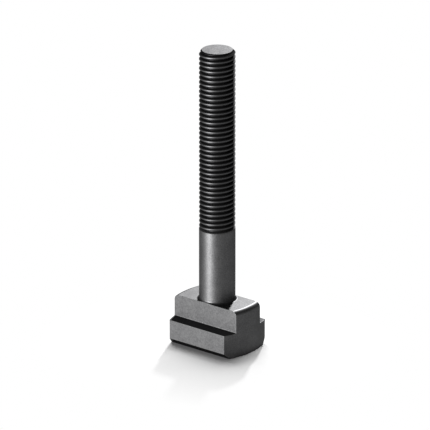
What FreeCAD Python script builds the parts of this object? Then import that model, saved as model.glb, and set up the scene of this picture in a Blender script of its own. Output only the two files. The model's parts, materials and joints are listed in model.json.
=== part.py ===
import FreeCAD, Part
import math
import os

from FreeCAD import Vector

# A T-slot bolt: a T-shaped head that slides into the slot of a machine table,
# and a long shank with a thread on its outer part.
# The bolt stands on its foot. The origin is the middle of the foot's underside,
# +Z runs up the shank, and X runs along the head, which is the way of the slot.
# All sizes are in millimetres.

# Shank and thread, a 3/4 inch bolt with ten threads to the inch
shank_diameter = 19.1
thread_diameter = 18.9
thread_pitch = 2.54
thread_length = 98.5
length_above_ledge = 149.2

# Head: the wide foot goes under the slot's lips, the neck stands between them
foot_width = 33.4
foot_height = 13.5
neck_width = 19.5
neck_height = 11.9
head_length = 44.5
head_end_radius = 40.5

# Edges
foot_bevel = 3.1
neck_end_rounding = 2.75
shank_root_radius = 1.2
ledge_corner_radius = 0.5
edge_break = 0.35

# The thread's depth by the 60 degree thread form, which the tip's bevel removes
thread_depth_per_pitch = 0.6134
thread_depth = thread_depth_per_pitch * thread_pitch

# Heights and half sizes that follow from the sizes above
head_height = foot_height + neck_height
tip_height = foot_height + length_above_ledge
thread_start_height = tip_height - thread_length
foot_half_width = foot_width / 2
neck_half_width = neck_width / 2
shank_radius = shank_diameter / 2
thread_radius = thread_diameter / 2
tip_radius = thread_radius - thread_depth


def closed_face(edges):
    """A flat face inside the given edges, which follow each other round a loop."""
    return Part.Face(Part.Wire(edges))


def line(start, end):
    return Part.LineSegment(start, end).toShape()


def arc(start, middle, end):
    return Part.Arc(start, middle, end).toShape()


def section_point(y, z):
    """A point of the head's cross-section, at the head's -X limit."""
    return Vector(-head_length / 2, y, z)


def half_section(side):
    """The T section's edges from its underside to its top, on the side +1 or -1."""
    sole = section_point(side * (foot_half_width - foot_bevel), 0)
    flank_low = section_point(side * foot_half_width, foot_bevel)
    flank_high = section_point(side * foot_half_width, foot_height - edge_break)
    ledge_out = section_point(side * (foot_half_width - edge_break), foot_height)
    ledge_in = section_point(side * (neck_half_width + ledge_corner_radius), foot_height)
    neck_low = section_point(side * neck_half_width, foot_height + ledge_corner_radius)
    neck_top = section_point(side * neck_half_width, head_height)
    # The hollow corner's centre lies over the ledge, so the arc bends away from it
    slant = ledge_corner_radius * (1 - math.sqrt(0.5))
    corner_middle = section_point(side * (neck_half_width + slant), foot_height + slant)
    return [
        line(sole, flank_low),
        line(flank_low, flank_high),
        line(flank_high, ledge_out),
        line(ledge_out, ledge_in),
        arc(ledge_in, corner_middle, neck_low),
        line(neck_low, neck_top),
    ]


def t_bar():
    """A straight bar of the head's T section, as long as the head."""
    right = half_section(1)
    left = half_section(-1)
    underside = line(left[0].Vertexes[0].Point, right[0].Vertexes[0].Point)
    top = line(right[-1].Vertexes[1].Point, left[-1].Vertexes[1].Point)
    section = closed_face(Part.sortEdges([underside, top] + right + left)[0])
    return section.extrude(Vector(head_length, 0, 0))


def is_end_arc_at(edge, height):
    on_height = all(abs(vertex.Z - height) < 1e-6 for vertex in edge.Vertexes)
    return on_height and isinstance(edge.Curve, Part.Circle)


def end_form():
    """The block whose two turned ends cut the bar to length, foot and neck in one curve."""
    arc_centre_x = head_length / 2 - head_end_radius
    corner_x = arc_centre_x + math.sqrt(head_end_radius ** 2 - foot_half_width ** 2)
    corners = [
        Vector(corner_x, foot_half_width, 0),
        Vector(-corner_x, foot_half_width, 0),
        Vector(-corner_x, -foot_half_width, 0),
        Vector(corner_x, -foot_half_width, 0),
    ]
    outline = closed_face([
        line(corners[0], corners[1]),
        arc(corners[1], Vector(-head_length / 2, 0, 0), corners[2]),
        line(corners[2], corners[3]),
        arc(corners[3], Vector(head_length / 2, 0, 0), corners[0]),
    ])
    block = outline.extrude(Vector(0, 0, head_height))
    top_arcs = [edge for edge in block.Edges if is_end_arc_at(edge, head_height)]
    block = block.makeFillet(neck_end_rounding, top_arcs)
    sole_arcs = [edge for edge in block.Edges if is_end_arc_at(edge, 0)]
    return block.makeChamfer(edge_break, sole_arcs)


def turned(points_and_arcs):
    """A solid turned about the shank's axis from an outline in the XZ plane."""
    return closed_face(points_and_arcs).revolve(Vector(0, 0, 0), Vector(0, 0, 1), 360)


def shank():
    """The plain shank and the thread's outer form, from inside the head to the tip."""
    step = shank_radius - thread_radius
    outline = [
        Vector(0, 0, foot_height),
        Vector(shank_radius, 0, foot_height),
        Vector(shank_radius, 0, thread_start_height - step),
        Vector(thread_radius, 0, thread_start_height),
        Vector(thread_radius, 0, tip_height - thread_depth),
        Vector(tip_radius, 0, tip_height),
        Vector(0, 0, tip_height),
    ]
    following = outline[1:] + outline[:1]
    return turned([line(start, end) for start, end in zip(outline, following)])


def shank_root():
    """The hollow rounding where the shank grows out of the neck, no wider than the neck."""
    inner = Vector(shank_radius - shank_root_radius, 0, head_height)
    outer = Vector(shank_radius + shank_root_radius, 0, head_height)
    upper = Vector(shank_radius, 0, head_height + shank_root_radius)
    slant = shank_root_radius * (1 - math.sqrt(0.5))
    middle = Vector(shank_radius + slant, 0, head_height + slant)
    ring = turned([line(inner, outer), arc(outer, middle, upper), line(upper, inner)])
    slab = Part.makeBox(head_length, neck_width, shank_root_radius)
    slab.translate(Vector(-head_length / 2, -neck_half_width, head_height))
    return ring.common(slab)


def t_slot_bolt():
    head = t_bar().common(end_form())
    return head.fuse([shank(), shank_root()]).removeSplitter().Solids[0]


os.makedirs("parts", exist_ok=True)
bolt = t_slot_bolt()
bolt.exportStep("parts/t_slot_bolt.step")
print("t_slot_bolt", bolt.isValid(), "faces", len(bolt.Faces), "volume", round(bolt.Volume, 1))
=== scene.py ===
import json
import math

import bmesh
import bpy
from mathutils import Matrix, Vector


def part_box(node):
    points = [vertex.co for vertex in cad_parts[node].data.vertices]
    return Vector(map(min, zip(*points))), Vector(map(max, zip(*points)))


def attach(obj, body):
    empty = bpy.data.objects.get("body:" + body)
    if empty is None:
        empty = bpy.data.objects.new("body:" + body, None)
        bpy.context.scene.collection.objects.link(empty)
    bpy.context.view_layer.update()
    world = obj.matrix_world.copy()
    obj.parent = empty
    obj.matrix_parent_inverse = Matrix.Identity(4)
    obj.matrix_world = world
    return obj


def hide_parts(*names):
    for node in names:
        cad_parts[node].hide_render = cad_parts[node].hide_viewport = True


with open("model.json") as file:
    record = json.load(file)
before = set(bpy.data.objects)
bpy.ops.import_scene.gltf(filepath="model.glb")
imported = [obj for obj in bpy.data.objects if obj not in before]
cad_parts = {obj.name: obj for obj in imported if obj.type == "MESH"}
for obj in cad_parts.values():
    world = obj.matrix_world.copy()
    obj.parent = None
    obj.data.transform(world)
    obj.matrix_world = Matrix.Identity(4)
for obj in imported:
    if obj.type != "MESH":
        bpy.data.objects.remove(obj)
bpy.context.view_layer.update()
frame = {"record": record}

bl_info = {
    "name": "T-Slot Bolt",
    "version": (1, 0, 0),
    "blender": (4, 5, 0),
    "location": "3D View > Sidebar > T-Slot Bolt",
    "description": "Builds a black oxide T-slot bolt with a real helical thread",
    "category": "Object",
}

# All lengths are in metres. The bolt stands on the origin, +Z runs up its shank and X runs
# along its head.

# The solid that the bolt stands for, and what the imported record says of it
node_name = "t_slot_bolt"
body_name = "root"
slot_name = "blackened_steel"
low_corner, high_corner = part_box(node_name)
mounts = {mount["name"]: mount for mount in frame["record"]["mounts"]}
ledge_height = mounts["ledge_front"]["pos_m"][2]
neck_side = -mounts["neck_front"]["pos_m"][1]
plain_radius = mounts["shank"]["dims"]["r_mm"] / 1000
crest_radius = mounts["threaded_end"]["dims"]["r_mm"] / 1000
threaded_length = mounts["threaded_end"]["dims"]["length_mm"] / 1000

# Points nearer to each other than this become one
merge_distance = 1e-6

# How finely the bolt is divided
facets_per_turn = 96
neck_strips = 9
ledge_strips = 6
end_rounding_steps = 10
edge_rounding_steps = 4
flare_steps = 8
# Faces that meet at less than the first angle become one, edges sharper than the second are
# softened, and shading runs on over edges under the third
flat_angle = math.radians(0.2)
softened_angle = math.radians(30)
shaded_angle = math.radians(25)

# The 60 degree thread: depth and half crest in pitches, and how far each flank leans from level
groove_depth_in_pitches = 0.54127
half_crest_in_pitches = 1 / 8
flank_lean = math.radians(30)

# Lumps per metre in the oxide, and in the turning marks across and up the shank
cloud_scale = 160.0
speckle_scale = 1700.0
turning_scale = (60.0, 60.0, 1100.0)

# Camera: lens and sensor in millimetres, and the picture's middle, which lies to the left of
# the shank's axis and above the ledge by these lengths in the picture
lens = 566.3
sensor_width = 36.0
middle_left = 0.00117
middle_above = 0.05465
nearest_seen = 0.1
farthest_seen = 20.0

# Floor: its outline from the middle out to the turned-up rim, as (radius, height). Between the
# two distances from the foot it fades to plain white, by this power.
floor_outline = ((0, 0), (1.0, 0), (5.0, 0), (5.4, 0.1), (5.6, 0.3), (5.6, 0.7))
fade_start = 0.006
fade_end = 0.066
fade_power = 0.7
floor_glow = 1.0

# Lamps: what each lights, degrees clockwise from straight behind the bolt, degrees up,
# distance, width, height and watts
lamps = (
    ("low key", "bolt", 12.4, 31.0, 1.0, 0.06, 0.10, 18.8),
    ("high key", "bolt", 12.4, 42.0, 1.0, 0.10, 0.26, 10.5),
    ("side", "bolt", 229.5, 3.0, 1.4, 0.24, 0.16, 84.0),
    ("floor key", "floor", 12.4, 28.5, 1.0, 0.05, 0.06, 9.0),
    ("floor top", "floor", 3.0, 60.0, 0.8, 0.9, 0.40, 8.5),
)
world_strength = 0.20


def length_property(name, description, default):
    """A length that a user can change, in metres."""
    return bpy.props.FloatProperty(
        name=name, description=description, default=default, min=0.0, precision=5,
        subtype="DISTANCE", unit="LENGTH",
    )


def colour_property(name, description, default):
    return bpy.props.FloatVectorProperty(
        name=name, description=description, default=default, size=3, min=0.0, max=1.0,
        subtype="COLOR",
    )


def angle_property(name, description, degrees):
    return bpy.props.FloatProperty(
        name=name, description=description, default=math.radians(degrees),
        subtype="ANGLE", unit="ROTATION",
    )


class TSlotHeadSizes(bpy.types.PropertyGroup):
    length: length_property("Length", "Head along the slot", high_corner.x - low_corner.x)
    foot_width: length_property("Foot width", "Foot across the slot", high_corner.y - low_corner.y)
    foot_height: length_property("Foot height", "Underside to ledge", ledge_height)
    neck_width: length_property("Neck width", "Neck across the slot", 2 * neck_side)
    height: length_property("Height", "Underside to the neck's top", 0.0254)
    end_radius: length_property("End radius", "Curve of the head's two ends", 0.0405)
    foot_bevel: length_property("Foot bevel", "45 degree bevel under the foot", 0.0031)
    end_rounding: length_property("End rounding", "Rounding over the neck's ends", 0.00275)
    ledge_corner: length_property("Ledge corner", "Hollow between ledge and neck", 0.0005)
    edge_break: length_property("Edge break", "Broken edges of the foot", 0.00035)
    edge_softness: length_property("Edge softness", "Rounding of every other edge", 0.00012)


class TSlotShankSizes(bpy.types.PropertyGroup):
    radius: length_property("Radius", "Plain shank's radius", plain_radius)
    root_flare: length_property("Root flare", "Hollow where shank meets neck", 0.0012)
    crest_radius: length_property("Crest radius", "Thread's outer radius", crest_radius)
    pitch: length_property("Pitch", "Height of one turn", 0.00254)
    thread_length: length_property("Thread length", "Last turn to tip", threaded_length)
    tip_height: length_property("Tip height", "Underside to tip", high_corner.z)
    first_groove: length_property(
        "First groove", "Lowest groove's height at the start of a turn", 0.065922,
    )


class TSlotFinish(bpy.types.PropertyGroup):
    oxide: colour_property("Oxide", "Black oxide's colour where it is even", (0.046, 0.046, 0.047))
    pale_oxide: colour_property(
        "Pale oxide", "Black oxide's colour where it is thin", (0.078, 0.078, 0.079),
    )
    # Painted shade: this colour darkens the thread's grooves, the shank's root and the bevel under
    # the foot, where shade falls
    painted_shade_colour: colour_property(
        "Deep oxide", "Black oxide's colour in the thread's grooves", (0.016, 0.016, 0.0165),
    )
    roughness: bpy.props.FloatProperty(
        name="Roughness", description="Satin roughness of the oxide",
        default=0.46, min=0.0, max=1.0, subtype="FACTOR",
    )


class TSlotStageSettings(bpy.types.PropertyGroup):
    floor_colour: colour_property("Floor", "Colour of the floor", (0.80, 0.80, 0.80))
    azimuth: angle_property("Azimuth", "Camera's angle round the bolt", 40.09)
    elevation: angle_property("Elevation", "Camera's angle above the floor", 20.02)
    distance: length_property("Distance", "Camera to the picture's middle", 3.5453)


def only(kind, geometry):
    """The vertices, edges or faces among the geometry that an operator gives back."""
    return [item for item in geometry if isinstance(item, kind)]


def everything(bm):
    return bm.verts[:] + bm.edges[:] + bm.faces[:]


def check_closed(bm, name):
    if any(not edge.is_manifold for edge in bm.edges):
        raise RuntimeError(f"{name} is not closed")


def mesh_object(name, bm):
    """An object in the scene from a bmesh, with its faces outward. The bmesh is used up."""
    bmesh.ops.recalc_face_normals(bm, faces=bm.faces)
    mesh = bpy.data.meshes.new(name)
    bm.to_mesh(mesh)
    bm.free()
    made = bpy.data.objects.new(name, mesh)
    bpy.context.scene.collection.objects.link(made)
    return made


def solid_object(name, bm):
    """A mesh object that has to be closed, with its doubles merged."""
    bmesh.ops.remove_doubles(bm, verts=bm.verts, dist=merge_distance)
    check_closed(bm, name)
    return mesh_object(name, bm)


def apply_modifiers(target):
    graph = bpy.context.evaluated_depsgraph_get()
    mesh = bpy.data.meshes.new_from_object(target.evaluated_get(graph))
    mesh.name = target.name
    target.modifiers.clear()
    target.data = mesh


def combine(base, tool, operation):
    """Joins the tool's solid to the base or cuts the base down to it. The tool is used up."""
    modifier = base.modifiers.new("combine", "BOOLEAN")
    modifier.operation = operation
    modifier.solver = "EXACT"
    modifier.object = tool
    apply_modifiers(base)
    bpy.data.objects.remove(tool)
    # Points that the cut left a hair apart become one
    bm = bmesh.new()
    bm.from_mesh(base.data)
    bmesh.ops.remove_doubles(bm, verts=bm.verts, dist=merge_distance)
    bmesh.ops.dissolve_degenerate(bm, edges=bm.edges, dist=merge_distance)
    check_closed(bm, f"{base.name} after {operation}")
    bm.to_mesh(base.data)
    bm.free()


def cut_off(bm, point, normal):
    """Cuts away what lies on the normal's side of a plane, and closes the cut with one face."""
    cut = bmesh.ops.bisect_plane(
        bm, geom=everything(bm), dist=merge_distance / 10, plane_co=point, plane_no=normal,
        clear_outer=True,
    )
    bmesh.ops.holes_fill(bm, edges=only(bmesh.types.BMEdge, cut["geom_cut"]), sides=0)


def chain(bm, outline):
    """Vertices in the XZ plane from (radius, height) points, and the edges between them."""
    points = [bm.verts.new((radius, 0, height)) for radius, height in outline]
    return points + [bm.edges.new(pair) for pair in zip(points, points[1:])]


def lathe(outline):
    """A bmesh turned about the shank's axis from (radius, height) points."""
    bm = bmesh.new()
    bmesh.ops.spin(
        bm, geom=chain(bm, outline), cent=(0, 0, 0), axis=(0, 0, 1), dvec=(0, 0, 0),
        angle=math.tau, steps=facets_per_turn, use_merge=True,
    )
    bmesh.ops.remove_doubles(bm, verts=bm.verts, dist=merge_distance)
    return bm


def is_level(edge, height):
    return all(abs(vert.co.z - height) < merge_distance for vert in edge.verts)


def runs_along(edge):
    """Whether an edge runs from one end of the head to the other."""
    first, second = edge.verts
    return first.co.x * second.co.x < 0


def end_edges(bm, height):
    """The edges of the two end curves at one height."""
    return [edge for edge in bm.edges if is_level(edge, height) and not runs_along(edge)]


def long_edges(bm, height, side):
    """The edges along the head at one height, at this distance to both sides of its middle."""
    return [
        edge for edge in bm.edges
        if is_level(edge, height) and runs_along(edge)
        and abs(abs(edge.verts[0].co.y) - side) < merge_distance
    ]


def round_edges(bm, edges, radius, steps):
    bmesh.ops.bevel(
        bm, geom=edges, offset=radius, offset_type="OFFSET", affect="EDGES",
        segments=steps, profile=0.5, material=-1, clamp_overlap=False, loop_slide=True,
    )


def t_bar(sizes):
    """A straight bar of the head's T section along X, with the bevels under its foot."""
    foot_half = sizes.foot_width / 2
    neck_half = sizes.neck_width / 2
    half_outline = [
        (foot_half - sizes.foot_bevel, 0),
        (foot_half, sizes.foot_bevel),
        (foot_half, sizes.foot_height),
        (neck_half, sizes.foot_height),
        (neck_half, sizes.height),
    ]
    outline = half_outline + [(-y, z) for y, z in reversed(half_outline)]
    bm = bmesh.new()
    section = bm.faces.new([bm.verts.new((-sizes.length / 2, y, z)) for y, z in outline])
    drawn = bmesh.ops.extrude_face_region(bm, geom=[section])["geom"]
    bmesh.ops.translate(bm, vec=(sizes.length, 0, 0), verts=only(bmesh.types.BMVert, drawn))
    return bm


def curve_ends(bm, sizes):
    """Cuts the bar into strips across the head and slides their ends onto the end curve."""
    foot_half = sizes.foot_width / 2
    neck_half = sizes.neck_width / 2
    neck_cuts = [neck_half * step / neck_strips for step in range(neck_strips + 1)]
    ledge_width = foot_half - neck_half
    ledge_cuts = [neck_half + ledge_width * step / ledge_strips for step in range(1, ledge_strips)]
    for distance in neck_cuts + ledge_cuts:
        for side in (1, -1):
            bmesh.ops.bisect_plane(
                bm, geom=everything(bm), dist=merge_distance,
                plane_co=(0, side * distance, 0), plane_no=(0, 1, 0),
            )
    arc_centre = sizes.length / 2 - sizes.end_radius
    for vert in bm.verts:
        reach = arc_centre + math.sqrt(sizes.end_radius ** 2 - vert.co.y ** 2)
        vert.co.x = math.copysign(reach, vert.co.x)
    bmesh.ops.recalc_face_normals(bm, faces=bm.faces)
    # The cuts go from the flat faces and stay in the curved ones
    bmesh.ops.dissolve_limit(bm, angle_limit=flat_angle, verts=bm.verts, edges=bm.edges)


def head_solid(sizes):
    """Foot and neck: a bar of T section, with both ends turned to one curve."""
    bm = t_bar(sizes)
    curve_ends(bm, sizes)
    foot_half = sizes.foot_width / 2
    neck_half = sizes.neck_width / 2
    round_edges(bm, end_edges(bm, sizes.height), sizes.end_rounding, end_rounding_steps)
    ledge_corners = long_edges(bm, sizes.foot_height, neck_half)
    round_edges(bm, ledge_corners, sizes.ledge_corner, edge_rounding_steps)
    ledge_borders = long_edges(bm, sizes.foot_height, foot_half)
    round_edges(bm, ledge_borders, sizes.edge_break, edge_rounding_steps)
    round_edges(bm, end_edges(bm, 0), sizes.edge_break, edge_rounding_steps)
    sharp = [
        edge for edge in bm.edges
        if edge.is_manifold and edge.is_convex and edge.calc_face_angle() > softened_angle
    ]
    round_edges(bm, sharp, sizes.edge_softness, edge_rounding_steps)
    return solid_object("head", bm)


def plain_shank_solid(head, sizes):
    """The plain shank from inside the neck up to the cone where the thread runs out."""
    flare_radius = sizes.radius + sizes.root_flare
    flare_top = head.height + sizes.root_flare
    sunk = head.height - sizes.root_flare
    outline = [(0, sunk), (flare_radius, sunk)]
    for step in range(flare_steps + 1):
        turn = math.radians(90) * step / flare_steps
        outline.append((
            flare_radius - sizes.root_flare * math.sin(turn),
            flare_top - sizes.root_flare * math.cos(turn),
        ))
    # The thread comes out of a cone, whose top lies a hair inside its grooves
    cone_height = 0.001
    cone_overlap = 0.0012
    cone_inset = 0.0001
    cone_top = sizes.tip_height - sizes.thread_length + cone_overlap
    groove_radius = sizes.crest_radius - groove_depth_in_pitches * sizes.pitch
    outline += [
        (sizes.radius, cone_top - cone_height),
        (groove_radius - cone_inset, cone_top),
        (0, cone_top),
    ]
    bm = lathe(outline)
    # The neck's sides cut the flare, a hair inside them so that no two faces share a plane
    inset = 0.000015
    for side in (1, -1):
        cut_off(bm, (0, side * (head.neck_width / 2 - inset), 0), (0, side, 0))
    return solid_object("plain_shank", bm)


def thread_section(crest, root, pitch):
    """One pitch of the thread as (radius, height) points, from mid crest to mid crest."""
    half_crest = half_crest_in_pitches * pitch
    flank_foot = half_crest + (crest - root) * math.tan(flank_lean)
    inward = math.cos(flank_lean)
    upward = math.sin(flank_lean)
    # Narrow flats cut off the corners: the crest's by one length along crest and flank, the
    # root's by one length along the flank and another along the root
    crest_cut = 0.00007
    flank_cut = 0.00015
    root_cut = 0.00009
    lower_half = [
        (crest, 0),
        (crest, half_crest - crest_cut),
        (crest - inward * crest_cut, half_crest + upward * crest_cut),
        (root + inward * flank_cut, flank_foot - upward * flank_cut),
        (root, flank_foot + root_cut),
    ]
    return lower_half + [(radius, pitch - height) for radius, height in reversed(lower_half)]


def thread_solid(sizes):
    """A right-hand thread: one pitch of its section wound round, stacked and cut to length."""
    pitch = sizes.pitch
    crest = sizes.crest_radius
    root = crest - groove_depth_in_pitches * pitch
    # Two turns start inside the plain shank. A groove is half a pitch above its turn's start.
    hidden_turns = 2
    start = sizes.first_groove - (hidden_turns + 0.5) * pitch
    section = [(radius, start + height) for radius, height in thread_section(crest, root, pitch)]
    bm = bmesh.new()
    bmesh.ops.spin(
        bm, geom=chain(bm, section), cent=(0, 0, 0), axis=(0, 0, 1),
        dvec=(0, 0, pitch / facets_per_turn), angle=math.tau, steps=facets_per_turn,
    )
    bmesh.ops.remove_doubles(bm, verts=bm.verts, dist=merge_distance)
    one_turn = everything(bm)
    turns = math.ceil((sizes.tip_height - start) / pitch) + 1
    for turn in range(1, turns):
        copied = bmesh.ops.duplicate(bm, geom=one_turn)["geom"]
        bmesh.ops.translate(
            bm, vec=(0, 0, turn * pitch), verts=only(bmesh.types.BMVert, copied),
        )
    bmesh.ops.remove_doubles(bm, verts=bm.verts, dist=merge_distance)
    spare = 0.1 * pitch
    bottom = start + pitch + spare
    cut_off(bm, (0, 0, sizes.tip_height + spare), (0, 0, 1))
    cut_off(bm, (0, 0, bottom), (0, 0, -1))
    rod = solid_object("threaded_end", bm)

    # A plain rod, wider than the thread, whose 45 degree bevel cuts the thread's tip
    tip_inset = 0.00005
    margin = 0.0002
    tip = root - tip_inset
    outer = crest + margin
    blank = solid_object("blank", lathe([
        (0, bottom - pitch),
        (outer, bottom - pitch),
        (outer, sizes.tip_height - (outer - tip)),
        (tip, sizes.tip_height),
        (0, sizes.tip_height),
    ]))
    combine(rod, blank, "INTERSECT")
    return rod


def plug(tree, socket, value):
    """Gives a node's input its value: a number, a colour, a vector, or a wire's link."""
    if isinstance(value, Wire):
        tree.links.new(value.socket, socket)
    else:
        socket.default_value = value


class Wire:
    """A value on its way through a shader. Arithmetic on it adds Math nodes."""

    def __init__(self, socket):
        self.socket = socket

    def join(self, operation, first, second):
        tree = self.socket.id_data
        node = tree.nodes.new("ShaderNodeMath")
        node.operation = operation
        plug(tree, node.inputs[0], first)
        plug(tree, node.inputs[1], second)
        return Wire(node.outputs[0])

    def beside(self, name):
        """Another output of the node that this value comes from."""
        return Wire(self.socket.node.outputs[name])

    def __add__(self, other):
        return self.join("ADD", self, other)

    def __sub__(self, other):
        return self.join("SUBTRACT", self, other)

    def __mul__(self, other):
        return self.join("MULTIPLY", self, other)

    def __pow__(self, other):
        return self.join("POWER", self, other)

    def __radd__(self, other):
        return self.join("ADD", other, self)

    def __rsub__(self, other):
        return self.join("SUBTRACT", other, self)

    def __rmul__(self, other):
        return self.join("MULTIPLY", other, self)

    def __rpow__(self, other):
        return self.join("POWER", other, self)


class Recipe:
    """A material or world under construction."""

    def __init__(self, owner):
        owner.use_nodes = True
        self.tree = owner.node_tree
        self.tree.nodes.clear()

    def add(self, kind, settings=None, inputs=None, output=0):
        """Adds a node: its settings first, then its inputs by name or number."""
        node = self.tree.nodes.new(kind)
        for name, value in (settings or {}).items():
            setattr(node, name, value)
        for name, value in (inputs or {}).items():
            plug(self.tree, node.inputs[name], value)
        return Wire(node.outputs[output]) if node.outputs else None

    def noise(self, where, scale, detail, roughness):
        """Noise from 0 to 1. The scale is in lumps per metre."""
        return self.add("ShaderNodeTexNoise", inputs={
            "Vector": where, "Scale": scale, "Detail": detail, "Roughness": roughness,
        })

    def vector(self, operation, *values, output="Vector"):
        """Vector maths on wires and plain vectors."""
        inputs = dict(enumerate(values))
        return self.add("ShaderNodeVectorMath", {"operation": operation}, inputs, output)

    def blend(self, factor, first, second):
        """A colour between two colours."""
        inputs = {"Factor": factor, "A": first, "B": second}
        return self.add("ShaderNodeMix", {"data_type": "RGBA"}, inputs, "Result")

    def step(self, value, start, end):
        """0 under the start, 1 over the end, smooth between them."""
        return self.add(
            "ShaderNodeMapRange", {"interpolation_type": "SMOOTHSTEP"},
            {"Value": value, "From Min": start, "From Max": end},
        )

    def band(self, value, start, full, fade, end):
        """0 under the start and over the end, 1 from full to fade, smooth between them."""
        return self.step(value, start, full) - self.step(value, fade, end)


def opaque(colour):
    """A colour with the fourth value that a colour socket takes."""
    return (*colour, 1)


def black_oxide(finish, head, shank):
    """Satin black oxide: fine speckle, faint clouds, smoother ledges and turned shank, with shade
    painted darker on the thread and its grooves, the shank's root, the ledges and the bevel.
    """
    material = bpy.data.materials.new(slot_name)
    recipe = Recipe(material)
    place = recipe.add("ShaderNodeTexCoord", output="Object")
    height = recipe.add("ShaderNodeSeparateXYZ", inputs={0: place}, output="Z")
    level = recipe.vector("MULTIPLY", place, (1, 1, 0))
    radius = recipe.vector("LENGTH", level, output="Value")
    clouds = recipe.noise(place, cloud_scale, detail=3.0, roughness=0.5)
    speckle = recipe.noise(place, speckle_scale, detail=2.0, roughness=0.7)

    # Masks: 1 on the part that each is named for, and 0 elsewhere
    # The ledges, where shade is painted and the roughness is lowered
    foot_top = head.foot_height
    ledge = recipe.band(
        height, start=foot_top - 0.00008, full=foot_top - 0.00003,
        fade=foot_top + 0.00003, end=foot_top + 0.00008,
    )
    neck_top = head.height
    # The hollow at the shank's root, where shade is painted
    painted_root_shade = recipe.band(
        height, start=neck_top + 0.00002, full=neck_top + 0.0001,
        fade=neck_top + 0.0006, end=neck_top + 0.0014,
    )
    thread_start = shank.first_groove
    plain = recipe.band(
        height, start=neck_top + 0.001, full=neck_top + 0.003,
        fade=thread_start - 0.004, end=thread_start - 0.002,
    )
    tip = shank.tip_height
    threaded = recipe.band(
        height, start=thread_start - 0.002, full=thread_start + 0.001,
        fade=tip - 0.0002, end=tip - 0.0001,
    )
    crest = shank.crest_radius
    # The thread's flanks and roots, where shade is painted
    groove = threaded * (1 - recipe.step(radius, start=crest - 0.0010, end=crest - 0.0001))
    # On the bevel under the foot |y| - z is one number, and it is smaller everywhere else
    folded = recipe.vector("ABSOLUTE", place)
    across = recipe.add("ShaderNodeSeparateXYZ", inputs={0: folded}, output="Y")
    sole_half = head.foot_width / 2 - head.foot_bevel
    # The bevel under the foot, where shade is painted and the roughness is lowered
    bevel = recipe.step(across - height, start=sole_half - 0.00012, end=sole_half - 0.00004)

    # The oxide is paler in random patches. On the thread, the ledges and the bevel most of that
    # paleness is taken away, which is painted shade.
    cloud_share = 0.25
    shade_share = 0.6
    mottle = cloud_share * clouds + (1 - cloud_share) * speckle
    shaded_and_polished = ledge + bevel
    thin = recipe.step(mottle, start=0.30, end=0.70) - shade_share * (threaded + shaded_and_polished)
    mottled_and_shaded = recipe.blend(thin, opaque(finish.oxide), opaque(finish.pale_oxide))

    # Painted shade, darkest in the thread's grooves, then in the shank's root, then on the bevel
    root_shade_share = 0.7
    bevel_shade_share = 0.6
    painted_shade = groove + root_shade_share * painted_root_shade + bevel_shade_share * bevel
    colour = recipe.blend(painted_shade, mottled_and_shaded, opaque(finish.painted_shade_colour))

    # The speckle is a little rougher, and the ledges and the bevel are smoother
    speckle_change = 0.06
    polish = 0.16
    rough = finish.roughness - speckle_change / 2 + speckle_change * speckle - polish * shaded_and_polished

    # Turning marks run round the plain shank
    speckle_relief = 0.35
    turned_relief = 0.5
    stretched = recipe.vector("MULTIPLY", place, turning_scale)
    turned = recipe.noise(stretched, scale=1.0, detail=2.0, roughness=0.6)
    normal = recipe.add("ShaderNodeBump", inputs={
        "Height": speckle_relief * speckle + turned_relief * turned * plain,
        "Strength": 0.15, "Distance": 0.00006,
    })
    surface = recipe.add("ShaderNodeBsdfPrincipled", inputs={
        "Base Color": colour, "Roughness": rough, "Metallic": 1.0, "Normal": normal,
        "Specular Tint": opaque((0.45, 0.45, 0.45)),
    })
    recipe.add("ShaderNodeOutputMaterial", inputs={"Surface": surface})
    return material


class TSLOT_OT_build_bolt(bpy.types.Operator):
    """Build the bolt: head, plain shank and helical thread in one closed mesh"""

    bl_idname = "tslot.build_bolt"
    bl_label = "Build Bolt"

    def execute(self, context):
        scene = context.scene
        bolt = head_solid(scene.tslot_head)
        combine(bolt, plain_shank_solid(scene.tslot_head, scene.tslot_shank), "UNION")
        combine(bolt, thread_solid(scene.tslot_shank), "UNION")
        bolt.name = "bolt"
        bolt.data.name = "bolt"
        bolt.data.materials.clear()
        bolt.data.materials.append(
            black_oxide(scene.tslot_finish, scene.tslot_head, scene.tslot_shank)
        )
        bolt.data.shade_smooth()
        bolt.data.set_sharp_from_angle(angle=shaded_angle)
        weighted = bolt.modifiers.new("flat faces stay flat", "WEIGHTED_NORMAL")
        weighted.keep_sharp = True
        apply_modifiers(bolt)
        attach(bolt, body_name)
        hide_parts(node_name)
        return {"FINISHED"}


def view_axes(settings):
    """Unit vectors to the picture's right, from the bolt to the camera, and up the picture."""
    turn = settings.azimuth
    tilt = settings.elevation
    right = Vector((math.cos(turn), math.sin(turn), 0))
    toward = Vector((
        math.sin(turn) * math.cos(tilt), -math.cos(turn) * math.cos(tilt), math.sin(tilt),
    ))
    return right, toward, toward.cross(right)


def set_camera(scene, settings):
    right, toward, up = view_axes(settings)
    middle = Vector((0, 0, ledge_height)) - middle_left * right + middle_above * up
    data = bpy.data.cameras.new("camera")
    data.lens = lens
    data.sensor_width = sensor_width
    data.clip_start = nearest_seen
    data.clip_end = farthest_seen
    camera = bpy.data.objects.new("camera", data)
    scene.collection.objects.link(camera)
    camera.location = middle + toward * settings.distance
    camera.rotation_mode = "QUATERNION"
    camera.rotation_quaternion = toward.to_track_quat("Z", "Y")
    scene.camera = camera


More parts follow.
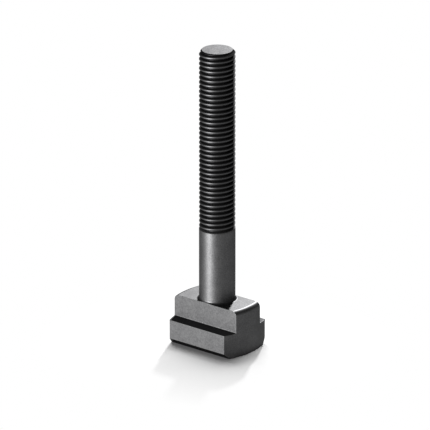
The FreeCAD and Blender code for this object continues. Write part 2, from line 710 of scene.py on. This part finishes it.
def white_paper(floor_colour):
    """Pale paper that keeps the bolt's shadow and fades to plain white away from the foot.

    It fades only for the rays that see the backdrop, which come from the camera, in gloss
    and through glass.
    """
    material = bpy.data.materials.new("white_paper")
    recipe = Recipe(material)
    place = recipe.add("ShaderNodeTexCoord", output="Object")
    folded = recipe.vector("ABSOLUTE", place)
    beyond = recipe.vector("SUBTRACT", folded, (high_corner.x, high_corner.y, 0))
    outside = recipe.vector("MAXIMUM", beyond, (0, 0, 0))
    from_foot = recipe.vector("LENGTH", outside, output="Value")
    away = recipe.add("ShaderNodeMapRange", inputs={
        "Value": from_foot, "From Min": fade_start, "From Max": fade_end,
    })
    camera_ray = recipe.add("ShaderNodeLightPath", output="Is Camera Ray")
    seen = (
        camera_ray + camera_ray.beside("Is Glossy Ray")
        + camera_ray.beside("Is Transmission Ray")
    )
    lit = recipe.add("ShaderNodeBsdfDiffuse", inputs={"Color": opaque(floor_colour)})
    glow = recipe.add("ShaderNodeEmission", inputs={"Strength": floor_glow})
    surface = recipe.add("ShaderNodeMixShader", inputs={
        0: away ** fade_power * seen, 1: lit, 2: glow,
    })
    recipe.add("ShaderNodeOutputMaterial", inputs={"Surface": surface})
    material.cycles.emission_sampling = "NONE"
    return material


def lay_floor(settings):
    floor = mesh_object("floor", lathe(floor_outline))
    floor.data.materials.append(white_paper(settings.floor_colour))
    return floor


def set_world(scene):
    """An even, dim studio."""
    world = bpy.data.worlds.new("studio")
    scene.world = world
    recipe = Recipe(world)
    light = recipe.add("ShaderNodeBackground", inputs={
        "Color": opaque((1, 1, 1)), "Strength": world_strength,
    })
    recipe.add("ShaderNodeOutputWorld", inputs={"Surface": light})


def area_light(name, place, width, height, power):
    """A softbox that faces the foot of the bolt."""
    data = bpy.data.lights.new(name, "AREA")
    data.shape = "RECTANGLE"
    data.size = width
    data.size_y = height
    data.energy = power
    made = bpy.data.objects.new(name, data)
    bpy.context.scene.collection.objects.link(made)
    made.location = place
    made.rotation_mode = "QUATERNION"
    made.rotation_quaternion = place.to_track_quat("Z", "Y")
    made.visible_camera = False
    return made


def hang_lamps(settings, floor):
    """Hangs the lamps round the bolt, each for the floor alone or for all but the floor."""
    right = view_axes(settings)[0]
    ahead = Vector((0, 0, 1)).cross(right)
    for name, lit, around, rise, distance, width, height, power in lamps:
        around = math.radians(around)
        rise = math.radians(rise)
        direction = (ahead * math.cos(around) + right * math.sin(around)) * math.cos(rise)
        direction.z = math.sin(rise)
        lamp = area_light(name, direction * distance, width, height, power)
        # This collection holds the floor alone, as what the lamp lights or as what it leaves out
        receivers = bpy.data.collections.new(f"lit by {name}")
        receivers.objects.link(floor)
        if lit == "bolt":
            receivers.collection_objects[0].light_linking.link_state = "EXCLUDE"
        lamp.light_linking.receiver_collection = receivers


class TSLOT_OT_set_stage(bpy.types.Operator):
    """Lay the white floor and set the camera, the lamps and the world"""

    bl_idname = "tslot.set_stage"
    bl_label = "Set Stage"

    def execute(self, context):
        scene = context.scene
        set_camera(scene, scene.tslot_stage)
        floor = lay_floor(scene.tslot_stage)
        set_world(scene)
        hang_lamps(scene.tslot_stage, floor)
        scene.view_settings.view_transform = "Standard"
        return {"FINISHED"}


class TSLOT_PT_panel(bpy.types.Panel):
    """Sizes, finish and buttons for the T-slot bolt"""

    bl_idname = "TSLOT_PT_panel"
    bl_label = "T-Slot Bolt"
    bl_space_type = "VIEW_3D"
    bl_region_type = "UI"
    bl_category = "T-Slot Bolt"

    def draw(self, context):
        scene = context.scene
        for title, group in (
            ("Head", scene.tslot_head),
            ("Shank and thread", scene.tslot_shank),
            ("Finish", scene.tslot_finish),
            ("Stage", scene.tslot_stage),
        ):
            box = self.layout.box()
            box.label(text=title)
            for name in group.__annotations__:
                box.prop(group, name)
        self.layout.operator(TSLOT_OT_build_bolt.bl_idname)
        self.layout.operator(TSLOT_OT_set_stage.bl_idname)


property_groups = {
    "tslot_head": TSlotHeadSizes,
    "tslot_shank": TSlotShankSizes,
    "tslot_finish": TSlotFinish,
    "tslot_stage": TSlotStageSettings,
}
classes = (
    *property_groups.values(), TSLOT_OT_build_bolt, TSLOT_OT_set_stage, TSLOT_PT_panel,
)


def register():
    for each in classes:
        bpy.utils.register_class(each)
    for name, group in property_groups.items():
        setattr(bpy.types.Scene, name, bpy.props.PointerProperty(type=group))


def unregister():
    for name in property_groups:
        delattr(bpy.types.Scene, name)
    for each in reversed(classes):
        bpy.utils.unregister_class(each)


def main():
    # The objects that Blender starts with make way for the bolt and its stage
    for name in ("Cube", "Light", "Camera"):
        if name in bpy.data.objects:
            bpy.data.objects.remove(bpy.data.objects[name])
    register()
    bpy.ops.tslot.set_stage()
    bpy.ops.tslot.build_bolt()


if __name__ == "__main__":
    main()
